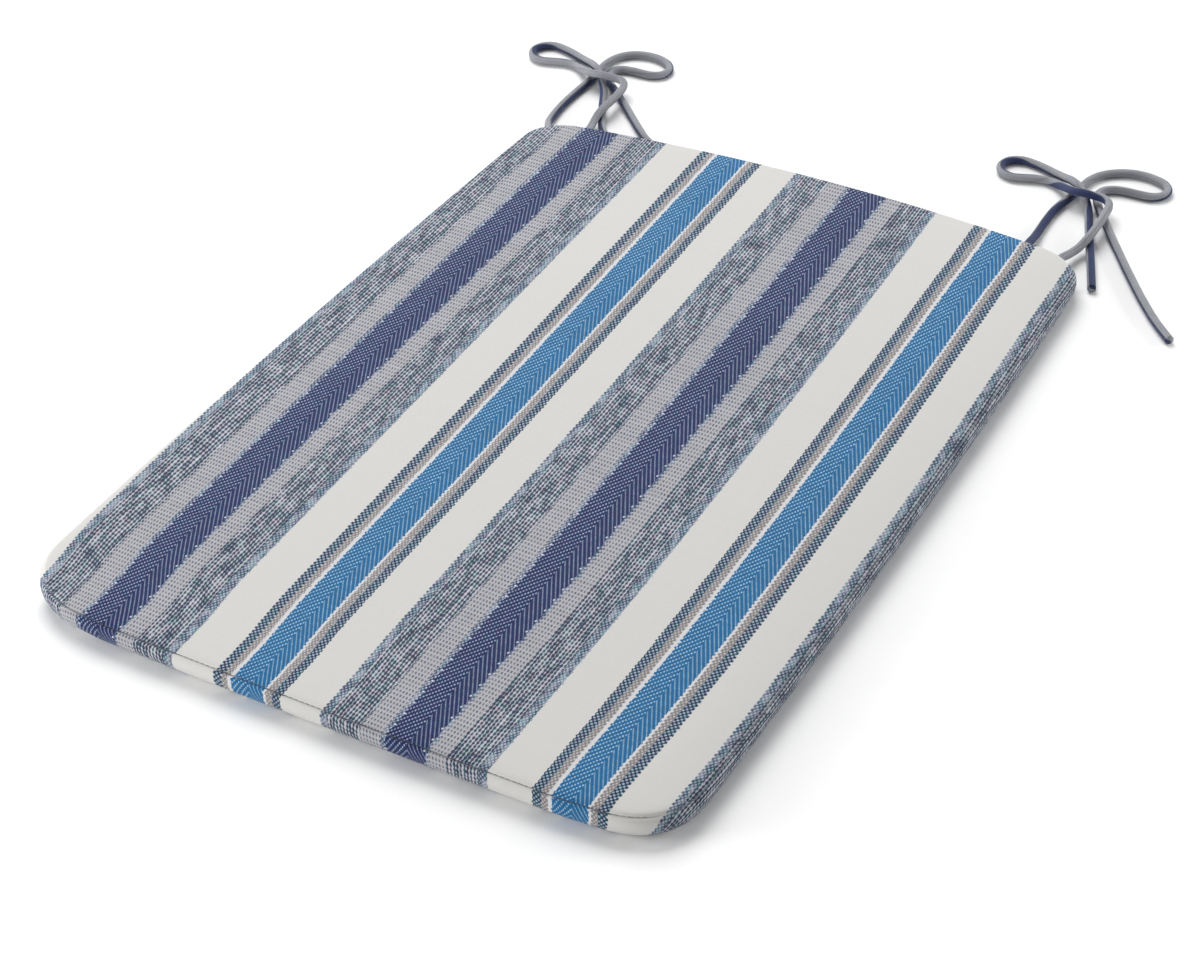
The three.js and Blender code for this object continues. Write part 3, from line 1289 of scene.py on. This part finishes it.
    def map_cloth(
        self, mesh: bpy.types.Mesh, points: np.ndarray, panels: np.ndarray, loop: np.ndarray
    ) -> None:
        """Write where each corner of each face lies in the cloth.

        Args:
            mesh: The pad's mesh.
            points: Its points.
            panels: The panel of each face.
            loop: The outline from above.
        """
        count = len(loop)
        flat = self.layout.at(points[:, :2])
        top = self.layout.at(self.layout.levelled(points, self.crown))
        wrapped = flat.copy()
        seam = points[self.seam_ring * count : (self.seam_ring + 1) * count]
        seam_from_above = self.layout.levelled(seam, self.crown)
        away = outward(seam[:, :2])
        away[:, 0] *= 1 - self.corner_pull * self.by_front(seam) * (away[:, 0] < 0)
        drop = np.zeros(count)
        for k in range(self.seam_ring - 1, -1, -1):
            upper = points[(k + 1) * count : (k + 2) * count]
            lower = points[k * count : (k + 1) * count]
            drop = drop + np.linalg.norm(upper - lower, axis=1)
            wrapped[k * count : (k + 1) * count] = self.layout.at(seam_from_above + away * drop[:, None])
        corner_points = np.empty(len(mesh.loops), dtype=int)
        mesh.loops.foreach_get("vertex_index", corner_points)
        sizes = np.empty(len(mesh.polygons), dtype=int)
        mesh.polygons.foreach_get("loop_total", sizes)
        corner_panels = np.repeat(panels, sizes)
        places = flat[corner_points]
        for panel, source in ((Panel.BOXING, wrapped), (Panel.TOP, top)):
            chosen = corner_panels == panel.value
            places[chosen] = source[corner_points[chosen]]
        layer = mesh.uv_layers.new(name=CLOTH_MAP)
        layer.data.foreach_set("uv", places.astype(np.float32).ravel())

    def fill_out(self, piece: bpy.types.Object) -> None:
        """Press the cloth out against its seams by a short cloth simulation, and keep the result.

        The cloth is held so near its drawn shape that this moves it by only a tenth of a millimetre.

        Args:
            piece: The pad, not yet subdivided.
        """
        start = read_points(piece.data)
        count = len(self.loop())
        seam = self.seam_ring
        held = piece.vertex_groups.new(name="held")
        ring = np.arange(len(start)) // count
        loose = ((ring > len(self.underside_rings)) & (ring < seam)) | (ring > seam)
        grids = (seam + len(self.top_rings) + 1) * count
        loose[grids:] = start[grids:, 2] > self.half_height
        held.add(np.flatnonzero(~loose).tolist(), 1.0, "REPLACE")
        held.add(np.flatnonzero(loose).tolist(), self.hold, "REPLACE")
        cloth = piece.modifiers.new("filling", "CLOTH")
        cloth.settings.vertex_group_mass = "held"
        cloth.settings.quality = self.cloth_quality
        cloth.settings.tension_stiffness = self.stretch_stiffness
        cloth.settings.compression_stiffness = self.stretch_stiffness
        cloth.settings.bending_stiffness = self.bending_stiffness
        cloth.settings.use_pressure = True
        cloth.settings.uniform_pressure_force = self.pressure
        cloth.settings.effector_weights.gravity = 0
        cloth.collision_settings.use_collision = False
        cloth.point_cache.frame_start, cloth.point_cache.frame_end = 1, self.frames
        scene = bpy.context.scene
        for number in range(1, self.frames + 1):
            scene.frame_set(number)
        graph = bpy.context.evaluated_depsgraph_get()
        blown = bpy.data.meshes.new_from_object(piece.evaluated_get(graph), depsgraph=graph)
        moved = read_points(blown) - start
        piece.modifiers.clear()
        piece.vertex_groups.clear()
        scene.frame_set(1)
        size = np.linalg.norm(moved, axis=1)
        LOG.info("filling moved the cloth by up to %.1f mm", float(size.max()) / MM)
        moved *= np.minimum(1, self.most_movement / np.maximum(size, 1e-9))[:, None]
        piece.data.vertices.foreach_set("co", (start + moved).ravel())
        piece.data.update()
        bpy.data.meshes.remove(blown)

    def seam_line(self, piece: bpy.types.Object) -> np.ndarray:
        """Read the upper seam's points off the finished pad.

        Args:
            piece: The finished pad.

        Returns:
            The line that the stitches follow.
        """
        count = len(self.loop())
        first = self.seam_ring * count
        line = read_points(piece.data)[first : first + count]
        return line - np.array([0, 0, self.hidden_depth]) * self.melt(self.loop())[:, None]

    def build(self) -> bpy.types.Object:
        """Make the finished pad.

        Returns:
            The pad.
        """
        piece = add_object("pad_cloth", self.shell())
        self.fill_out(piece)
        finer = piece.modifiers.new("finer", "SUBSURF")
        finer.levels = finer.render_levels = 1
        baked(piece)
        piece.data.materials.append(self.finish)
        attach(piece, BODY)
        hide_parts("pad")
        return piece


@dataclass
class Stitching:
    """The row of stitches that lies sunk in the upper seam."""

    finish: bpy.types.Material
    pitch: float = 3.3 * MM
    length: float = 3.2 * MM
    thread: float = 0.17 * MM
    raised: float = 0.02 * MM
    seed: int = 7
    segments: int = 8
    rings: int = 5
    shortest: float = 0.85
    longest: float = 1.1

    def tree(self) -> bpy.types.NodeTree:
        """Build the node tree that lays one stitch at every step of a line.

        Returns:
            The tree, with its sizes as named inputs.
        """
        tree = bpy.data.node_groups.new("seam_stitches", "GeometryNodeTree")
        face = tree.interface
        face.new_socket("Line", in_out="INPUT", socket_type="NodeSocketGeometry")
        for name, kind in (("Pitch", "Float"), ("Length", "Float"), ("Thread", "Float"), ("Seed", "Int")):
            face.new_socket(name, in_out="INPUT", socket_type=f"NodeSocket{kind}")
        face.new_socket("Stitches", in_out="OUTPUT", socket_type="NodeSocketGeometry")

        def add(kind: str, **options: object) -> bpy.types.Node:
            """Add a node with its options.

            Args:
                kind: Type of the node.
                **options: Its options by name.

            Returns:
                The node.
            """
            made = tree.nodes.new(kind)
            for key, value in options.items():
                setattr(made, key, value)
            return made

        given, result = add("NodeGroupInput"), add("NodeGroupOutput")
        curve = add("GeometryNodeMeshToCurve")
        evened = add("GeometryNodeResampleCurve", mode="LENGTH")
        tangent = add("GeometryNodeInputTangent")
        turned = add("FunctionNodeAlignRotationToVector", axis="X")
        bead = add("GeometryNodeMeshUVSphere")
        bead.inputs["Segments"].default_value = self.segments
        bead.inputs["Rings"].default_value = self.rings
        bead.inputs["Radius"].default_value = 1.0
        half = add("ShaderNodeMath", operation="MULTIPLY")
        half.inputs[1].default_value = 0.5
        varied = add("FunctionNodeRandomValue", data_type="FLOAT")
        stretched = add("ShaderNodeMath", operation="MULTIPLY")
        sized = add("ShaderNodeCombineXYZ")
        placed = add("GeometryNodeInstanceOnPoints")
        real = add("GeometryNodeRealizeInstances")
        dressed = add("GeometryNodeSetMaterial")
        dressed.inputs["Material"].default_value = self.finish
        floats = [socket for socket in varied.inputs if socket.type == "VALUE" and socket.enabled]
        floats[0].default_value, floats[1].default_value = self.shortest, self.longest
        for source, target in (
            (given.outputs["Line"], curve.inputs[0]),
            (curve.outputs[0], evened.inputs["Curve"]),
            (given.outputs["Pitch"], evened.inputs["Length"]),
            (tangent.outputs[0], turned.inputs["Vector"]),
            (given.outputs["Length"], half.inputs[0]),
            (given.outputs["Seed"], varied.inputs["Seed"]),
            (half.outputs[0], stretched.inputs[0]),
            (next(s for s in varied.outputs if s.enabled), stretched.inputs[1]),
            (stretched.outputs[0], sized.inputs[0]),
            (given.outputs["Thread"], sized.inputs[1]),
            (given.outputs["Thread"], sized.inputs[2]),
            (evened.outputs[0], placed.inputs["Points"]),
            (bead.outputs["Mesh"], placed.inputs["Instance"]),
            (turned.outputs[0], placed.inputs["Rotation"]),
            (sized.outputs[0], placed.inputs["Scale"]),
            (placed.outputs[0], real.inputs[0]),
            (real.outputs[0], dressed.inputs["Geometry"]),
            (dressed.outputs[0], result.inputs[0]),
        ):
            tree.links.new(source, target)
        return tree

    def build(self, line: np.ndarray) -> bpy.types.Object:
        """Sew the stitches along a closed line.

        Args:
            line: The seam's points.

        Returns:
            The stitches, as one plain mesh.
        """
        mesh = bpy.data.meshes.new("pad_stitches")
        count = len(line)
        lifted = line + np.array([0, 0, self.raised])
        mesh.from_pydata(lifted.tolist(), [(k, (k + 1) % count) for k in range(count)], [])
        piece = add_object("pad_stitches", mesh)
        layer = piece.modifiers.new("stitches", "NODES")
        tree = self.tree()
        layer.node_group = tree
        values = {"Pitch": self.pitch, "Length": self.length, "Thread": self.thread, "Seed": self.seed}
        for item in tree.interface.items_tree:
            if item.name in values and item.in_out == "INPUT":
                layer[item.identifier] = values[item.name]
        baked(piece)
        piece.data.polygons.foreach_set("use_smooth", [True] * len(piece.data.polygons))
        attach(piece, BODY)
        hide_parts("pad")
        return piece


# ---------------------------------------------------------------------------
# The ties
# ---------------------------------------------------------------------------

LEFT_KNOT = (-184.0, 335.0)
RIGHT_KNOT = (150.0, 338.0)

# Routes of the ties, in mm: across and along from the knot, and height
LEFT_OUTER_ROUTE = (
    (10.2, -86.4, 8), (6.2, -82.4, 7.7), (1.7, -77, 6.3), (-2.5, -70, 4.3), (-5.3, -61.5, 3),
    (-6.9, -50.5, 2.7), (-7.5, -39, 2.7), (-7.4, -28, 2.7), (-7, -18, 2.7), (-6.8, -9, 2.7),
    (-7.4, -0.5, 2.7), (-8, 8, 2.7), (-7.4, 16.5, 2.7), (-4.4, 24.4, 2.7), (1, 30, 2.7),
    (8, 33, 2.7), (16, 33.8, 2.7), (24, 32, 2.7), (30.2, 28.5, 2.7), (33.6, 22.9, 2.7),
    (32.6, 16.6, 2.7), (27.4, 12.8, 2.7), (20, 12, 2.7), (12, 12, 2.7), (5, 10.3, 2.7),
    (0.9, 5.8, 2.7), (0.9, -0.2, 2.7), (4.4, -5.8, 2.7), (10.2, -11, 2.7), (19.5, -19.2, 2.7),
    (29.5, -28.5, 2.7), (40.5, -39, 2.7), (52, -50, 2.7), (64, -60.2, 2.7), (77, -66.4, 2.7),
    (92, -68.5, 2.7),
)
LEFT_INNER_ROUTE = (
    (28.8, -80, 8), (28.3, -74.8, 7.7), (26.4, -67, 6.2), (24.4, -59, 6.2), (23.8, -52, 7.9),
    (23.9, -45, 8.6), (23.8, -35, 8.5), (23.6, -25.5, 8.7), (22.5, -18, 8.8), (19.5, -12.6, 8.9),
    (14.6, -11, 9.2), (9.6, -12.4, 10.3), (4.6, -14.2, 11.6), (-0.8, -14.4, 11.2), (-6.2, -11.8, 9.4),
    (-12.1, -7, 6.9), (-18.4, -2, 4.2), (-25.4, 1.8, 2.9), (-33.4, 2.2, 2.7), (-41.4, 0, 2.7),
    (-49.4, -1.9, 2.7), (-57, 0.9, 2.7), (-60.6, 8, 2.7), (-57.9, 15.4, 2.7), (-50.8, 18.8, 2.7),
    (-42.4, 17.6, 2.7), (-34.4, 15.2, 2.7), (-27, 12, 2.9), (-19.4, 7.6, 4.3), (-12, 1.8, 7),
    (-5.4, -4.2, 8.7), (0, -9, 7.6), (4.2, -13.4, 5.7), (8.2, -18.8, 3.8), (12.4, -26.6, 2.8),
    (17.6, -37, 2.7), (24, -48.5, 2.7), (31, -60, 2.7), (39.5, -68.4, 2.7), (50, -71.5, 2.7),
)
RIGHT_INNER_ROUTE = (
    (-9, -81.3, 8), (-9.3, -75.9, 7.7), (-10, -69.5, 6.3), (-10.8, -61.5, 4.2), (-11.8, -51, 2.9),
    (-12.5, -39, 2.7), (-12.5, -28, 2.7), (-11.3, -18, 2.7), (-9.3, -9.5, 2.7), (-7.8, -1.5, 2.7),
    (-7.2, 6.5, 2.7), (-5.8, 14.5, 2.7), (-2, 22, 2.7), (4.5, 28, 2.7), (12.5, 31.8, 2.7),
    (21, 33, 2.7), (29.5, 31.8, 2.7), (36.4, 28.8, 2.7), (40.4, 23.4, 2.7), (39.8, 17, 2.7),
    (34.8, 12.9, 2.7), (27, 12, 2.7), (18, 11.8, 2.7), (10.6, 10.2, 2.7), (5.6, 6, 2.7),
    (4.5, 0, 2.7), (7, -6.6, 2.7), (11.8, -14.4, 2.7), (19.6, -25.4, 2.7), (29.4, -39.4, 2.7),
    (40.6, -54.8, 2.7), (53.2, -71.8, 2.7), (67.2, -90, 2.7), (82, -107.6, 2.7), (96.4, -122, 2.7),
)
RIGHT_OUTER_ROUTE = (
    (13.2, -84.2, 8), (13.8, -79, 7.7), (15.6, -70.6, 6.2), (17.8, -62, 6), (19.4, -54.6, 7.7),
    (20.2, -47.6, 8.6), (20, -37.6, 8.5), (19.4, -27, 8.7), (18.7, -19, 8.8), (16.2, -13.4, 8.9),
    (11.5, -11.1, 9.2), (6.4, -12.2, 10.2), (1.5, -14, 11.6), (-3.6, -14, 11.1), (-8.6, -10.8, 9.2),
    (-14, -6, 6.7), (-20, -1.2, 4.1), (-26.8, 2.2, 2.9), (-34.6, 1.8, 2.7), (-42.4, -0.9, 2.7),
    (-50.2, -2.8, 2.7), (-57.7, 0.1, 2.7), (-61, 7.2, 2.7), (-58.2, 14.4, 2.7), (-51.2, 17.7, 2.7),
    (-43, 16.9, 2.7), (-35, 14.8, 2.7), (-27.8, 12, 2.9), (-20.6, 8, 4.3), (-13.6, 2.6, 7),
    (-7, -3.4, 8.7), (-1.8, -8.2, 7.5), (2.3, -12.8, 5.6), (5.9, -18.2, 3.8), (9.4, -25.8, 2.8),
    (13.6, -36, 2.7), (19.2, -48.8, 2.7), (25.6, -63.4, 2.7), (32.2, -78.6, 2.7), (38.8, -94, 2.7),
)

# Where each tie's navy side faces along its length
LEFT_OUTER_NAVY = (
    (0.0, 0.06), (0.24, 0.08), (0.33, 0.5), (0.48, 0.5), (0.53, 0.2), (0.6, -0.02), (0.7, -0.02),
    (0.78, 0.12), (1.0, 0.12),
)
LEFT_INNER_NAVY = (
    (0.0, 0.25), (0.3, 0.2), (0.4, -0.03), (0.5, -0.03), (0.57, 0.2), (0.7, 0.2), (0.8, 0.0), (1.0, 0.0),
)
RIGHT_INNER_NAVY = (
    (0.0, -0.14), (0.15, -0.12), (0.22, 0.1), (0.28, 0.48), (0.42, 0.48), (0.48, 0.2), (0.56, 0.12),
    (1.0, 0.12),
)
RIGHT_OUTER_NAVY = (
    (0.0, 0.3), (0.2, 0.35), (0.27, 0.62), (0.34, 0.58), (0.4, 0.0), (0.5, 0.0), (0.56, 0.2), (0.68, 0.3),
    (0.76, 0.7), (1.0, 0.72),
)


@dataclass
class Tie:
    """One cloth tie: a narrow sewn tube along its half of a bow."""

    node: str
    knot: tuple[float, float]
    route: tuple[tuple[float, float, float], ...]
    finish: bpy.types.Material
    diameter: float = 5 * MM
    sides: int = 24
    pace: float = 1.4 * MM
    steps_per_span: int = 24
    # Where the navy side faces, as (share of the length, turns about the middle line):
    # 0 to the right of the way it runs, 0.25 down, 0.5 to the left and 0.75 up
    navy_side: tuple[tuple[float, float], ...] = ((0.0, 0.25),)

    def line(self) -> np.ndarray:
        """Draw the smooth middle line through the route's points.

        Returns:
            The line's points, evenly spaced.
        """
        points = [np.array([self.knot[0] + x, self.knot[1] + y, z]) * MM for x, y, z in self.route]
        points = [2 * points[0] - points[1], *points, 2 * points[-1] - points[-2]]
        drawn: list[np.ndarray] = []
        for p0, p1, p2, p3 in zip(points, points[1:], points[2:], points[3:]):
            t1 = math.sqrt(float(np.linalg.norm(p1 - p0)))
            t2 = t1 + math.sqrt(float(np.linalg.norm(p2 - p1)))
            t3 = t2 + math.sqrt(float(np.linalg.norm(p3 - p2)))
            for t in np.linspace(t1, t2, self.steps_per_span, endpoint=False):
                a1 = p0 * (t1 - t) / t1 + p1 * t / t1
                a2 = p1 * (t2 - t) / (t2 - t1) + p2 * (t - t1) / (t2 - t1)
                a3 = p2 * (t3 - t) / (t3 - t2) + p3 * (t - t2) / (t3 - t2)
                b1 = a1 * (t2 - t) / t2 + a2 * t / t2
                b2 = a2 * (t3 - t) / (t3 - t1) + a3 * (t - t1) / (t3 - t1)
                drawn.append(b1 * (t2 - t) / (t2 - t1) + b2 * (t - t1) / (t2 - t1))
        drawn.append(points[-2])
        dense = np.array(drawn)
        length = float(np.linalg.norm(np.diff(dense, axis=0), axis=1).sum())
        return evenly(dense, round(length / self.pace))

    def frames(self, line: np.ndarray) -> tuple[np.ndarray, np.ndarray]:
        """Carry a side direction along the line without twisting it.

        Args:
            line: The middle line.

        Returns:
            Two directions across the line at each point.
        """
        tangent = np.gradient(line, axis=0)
        tangent /= np.linalg.norm(tangent, axis=1)[:, None]
        side = np.cross(tangent[0], (0, 0, 1.0))
        sides = []
        for t in tangent:
            side = side - t * np.dot(side, t)
            side = side / np.linalg.norm(side)
            sides.append(side)
        first = np.array(sides)
        return first, np.cross(tangent, first)

    def tube(self, line: np.ndarray) -> bpy.types.Mesh:
        """Sew the tube along its line, closed at both ends.

        Args:
            line: The middle line.

        Returns:
            The tube's mesh, with its own map: turns around, metres along.
        """
        first, second = self.frames(line)
        count, rows = self.sides, len(line)
        angle = np.linspace(0, 2 * math.pi, count, endpoint=False)
        radius = self.diameter / 2
        ring = np.cos(angle)[None, :, None] * first[:, None] + np.sin(angle)[None, :, None] * second[:, None]
        points = (line[:, None] + radius * ring).reshape(-1, 3)
        points = np.concatenate([points, line[:1], line[-1:]])
        start, end = len(points) - 2, len(points) - 1
        faces, places = [], []
        along = np.concatenate([[0], np.cumsum(np.linalg.norm(np.diff(line, axis=0), axis=1))])
        shares, turns = zip(*self.navy_side)
        shift = 0.5 - np.interp(along / along[-1], shares, turns)
        for r in range(rows - 1):
            low, high = shift[r], shift[r + 1]
            for i in range(count):
                n = (i + 1) % count
                faces.append((r * count + i, r * count + n, (r + 1) * count + n, (r + 1) * count + i))
                u0, u1 = i / count, (i + 1) / count
                places += [(u0 + low, along[r]), (u1 + low, along[r])]
                places += [(u1 + high, along[r + 1]), (u0 + high, along[r + 1])]
        for i in range(count):
            n = (i + 1) % count
            faces.append((start, n, i))
            u0, u1 = i / count + shift[0], (i + 1) / count + shift[0]
            places += [(u0, -MM), (u1, 0), (u0, 0)]
            faces.append((end, (rows - 1) * count + i, (rows - 1) * count + n))
            u0, u1, last = i / count + shift[-1], (i + 1) / count + shift[-1], along[-1]
            places += [(u0, last + MM), (u0, last), (u1, last)]
        mesh = mesh_from(self.node, points, faces)
        layer = mesh.uv_layers.new(name=CLOTH_MAP)
        layer.data.foreach_set("uv", np.array(places, dtype=np.float32).ravel())
        return mesh

    def build(self) -> bpy.types.Object:
        """Make the finished tie.

        Returns:
            The tie.
        """
        line = self.line()
        piece = add_object(f"{self.node}_cloth", self.tube(line))
        piece.data.materials.append(self.finish)
        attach(piece, BODY)
        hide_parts(self.node)
        length = float(np.linalg.norm(np.diff(line, axis=0), axis=1).sum())
        LOG.info("%s: %.0f mm long", self.node, length / MM)
        return piece


# ---------------------------------------------------------------------------
# The studio
# ---------------------------------------------------------------------------


@dataclass(frozen=True)
class Lamp:
    """One soft light that faces the pad: its place, width, height and power in watts."""

    name: str
    place: tuple[float, float, float]
    width: float
    height: float
    power: float


@dataclass
class Studio:
    """Camera, floor and soft light."""

    place: tuple[float, float, float] = VIEWPOINT
    pitch: float = 0.665808516
    yaw: float = 0.557633138
    roll: float = 0.055823913
    lens: float = 82.6
    film: float = 36.0
    floor_half: float = 6.0
    nearest: float = 0.05
    farthest: float = 50.0
    surround: float = 0.30
    lamps: tuple[Lamp, ...] = (
        Lamp("key_light", (-1.2, 1.5, 2.3), 2.2, 2.2, 92.0),
        Lamp("front_light", (-0.4, -2.6, 0.42), 1.6, 0.5, 16.0),
        Lamp("right_light", (1.5, 1.3, 0.55), 0.8, 0.6, 18.0),
        Lamp("left_light", (-1.35, -1.1, 0.5), 0.8, 0.6, 20.0),
    )

    def camera(self) -> bpy.types.Object:
        """Set up the camera at the photograph's angle.

        Returns:
            The camera.
        """
        right = Vector((math.cos(self.yaw), math.sin(self.yaw), 0))
        ahead = Vector(
            (
                -math.sin(self.yaw) * math.cos(self.pitch),
                math.cos(self.yaw) * math.cos(self.pitch),
                -math.sin(self.pitch),
            )
        )
        down = ahead.cross(right)
        image_right = math.cos(self.roll) * right + math.sin(self.roll) * down
        image_down = -math.sin(self.roll) * right + math.cos(self.roll) * down
        data = bpy.data.cameras.new("camera")
        data.lens = self.lens
        data.sensor_fit = "HORIZONTAL"
        data.sensor_width = self.film
        data.clip_start = self.nearest
        data.clip_end = self.farthest
        camera = bpy.data.objects.new("camera", data)
        turned = Matrix((image_right, -image_down, -ahead)).transposed()
        camera.matrix_world = Matrix.Translation(self.place) @ turned.to_4x4()
        bpy.context.scene.collection.objects.link(camera)
        bpy.context.scene.camera = camera
        return camera

    def floor(self) -> bpy.types.Object:
        """Lay the plain pale floor under the pad.

        Returns:
            The floor.
        """
        h = self.floor_half
        points = np.array([(-h, -h, 0), (h, -h, 0), (h, h, 0), (-h, h, 0)], dtype=float)
        floor = add_object("floor", mesh_from("floor", points, [(0, 1, 2, 3)]))
        floor.data.materials.append(PaperFinish().material())
        return floor

    def hang(self, lamp: Lamp) -> bpy.types.Object:
        """Hang one soft light so that it faces the pad.

        Args:
            lamp: The light's settings.

        Returns:
            The light.
        """
        data = bpy.data.lights.new(lamp.name, "AREA")
        data.shape = "RECTANGLE"
        data.size = lamp.width
        data.size_y = lamp.height
        data.energy = lamp.power
        light = bpy.data.objects.new(lamp.name, data)
        light.location = lamp.place
        light.rotation_euler = (-Vector(lamp.place)).to_track_quat("-Z", "Y").to_euler()
        bpy.context.scene.collection.objects.link(light)
        return light

    def light(self) -> None:
        """Light the pad softly, most from behind and the left, with a white surround."""
        world = bpy.data.worlds.new("surround")
        world.use_nodes = True
        back = world.node_tree.nodes["Background"]
        back.inputs["Color"].default_value = (1, 1, 1, 1)
        back.inputs["Strength"].default_value = self.surround
        bpy.context.scene.world = world
        for lamp in self.lamps:
            self.hang(lamp)
        bpy.context.scene.view_settings.view_transform = "Standard"


def keep_sizes() -> None:
    """Bring the view layer up to date."""
    bpy.context.view_layer.update()


def main() -> None:
    """Build the studio, the ties and the pad, in that order."""
    logging.basicConfig(level=logging.INFO, format="%(name)s: %(message)s")
    studio = Studio()
    studio.camera()
    tie_cloth = TieWeave().material()
    ties = [
        Tie("tie_left_outer", LEFT_KNOT, LEFT_OUTER_ROUTE, tie_cloth, navy_side=LEFT_OUTER_NAVY),
        Tie("tie_left_inner", LEFT_KNOT, LEFT_INNER_ROUTE, tie_cloth, navy_side=LEFT_INNER_NAVY),
        Tie("tie_right_inner", RIGHT_KNOT, RIGHT_INNER_ROUTE, tie_cloth, navy_side=RIGHT_INNER_NAVY),
        Tie("tie_right_outer", RIGHT_KNOT, RIGHT_OUTER_ROUTE, tie_cloth, navy_side=RIGHT_OUTER_NAVY),
    ]
    for tie in ties:
        made = tie.build()
        LOG.info("%s: %d faces", made.name, len(made.data.polygons))
    cushion = SeatPad(StripedWeave().material())
    pad = cushion.build()
    LOG.info("%s: %d faces", pad.name, len(pad.data.polygons))
    stitches = Stitching(ThreadFinish().material()).build(cushion.seam_line(pad))
    LOG.info("%s: %d faces", stitches.name, len(stitches.data.polygons))
    studio.floor()
    studio.light()
    keep_sizes()


if __name__ == "__main__":
    main()
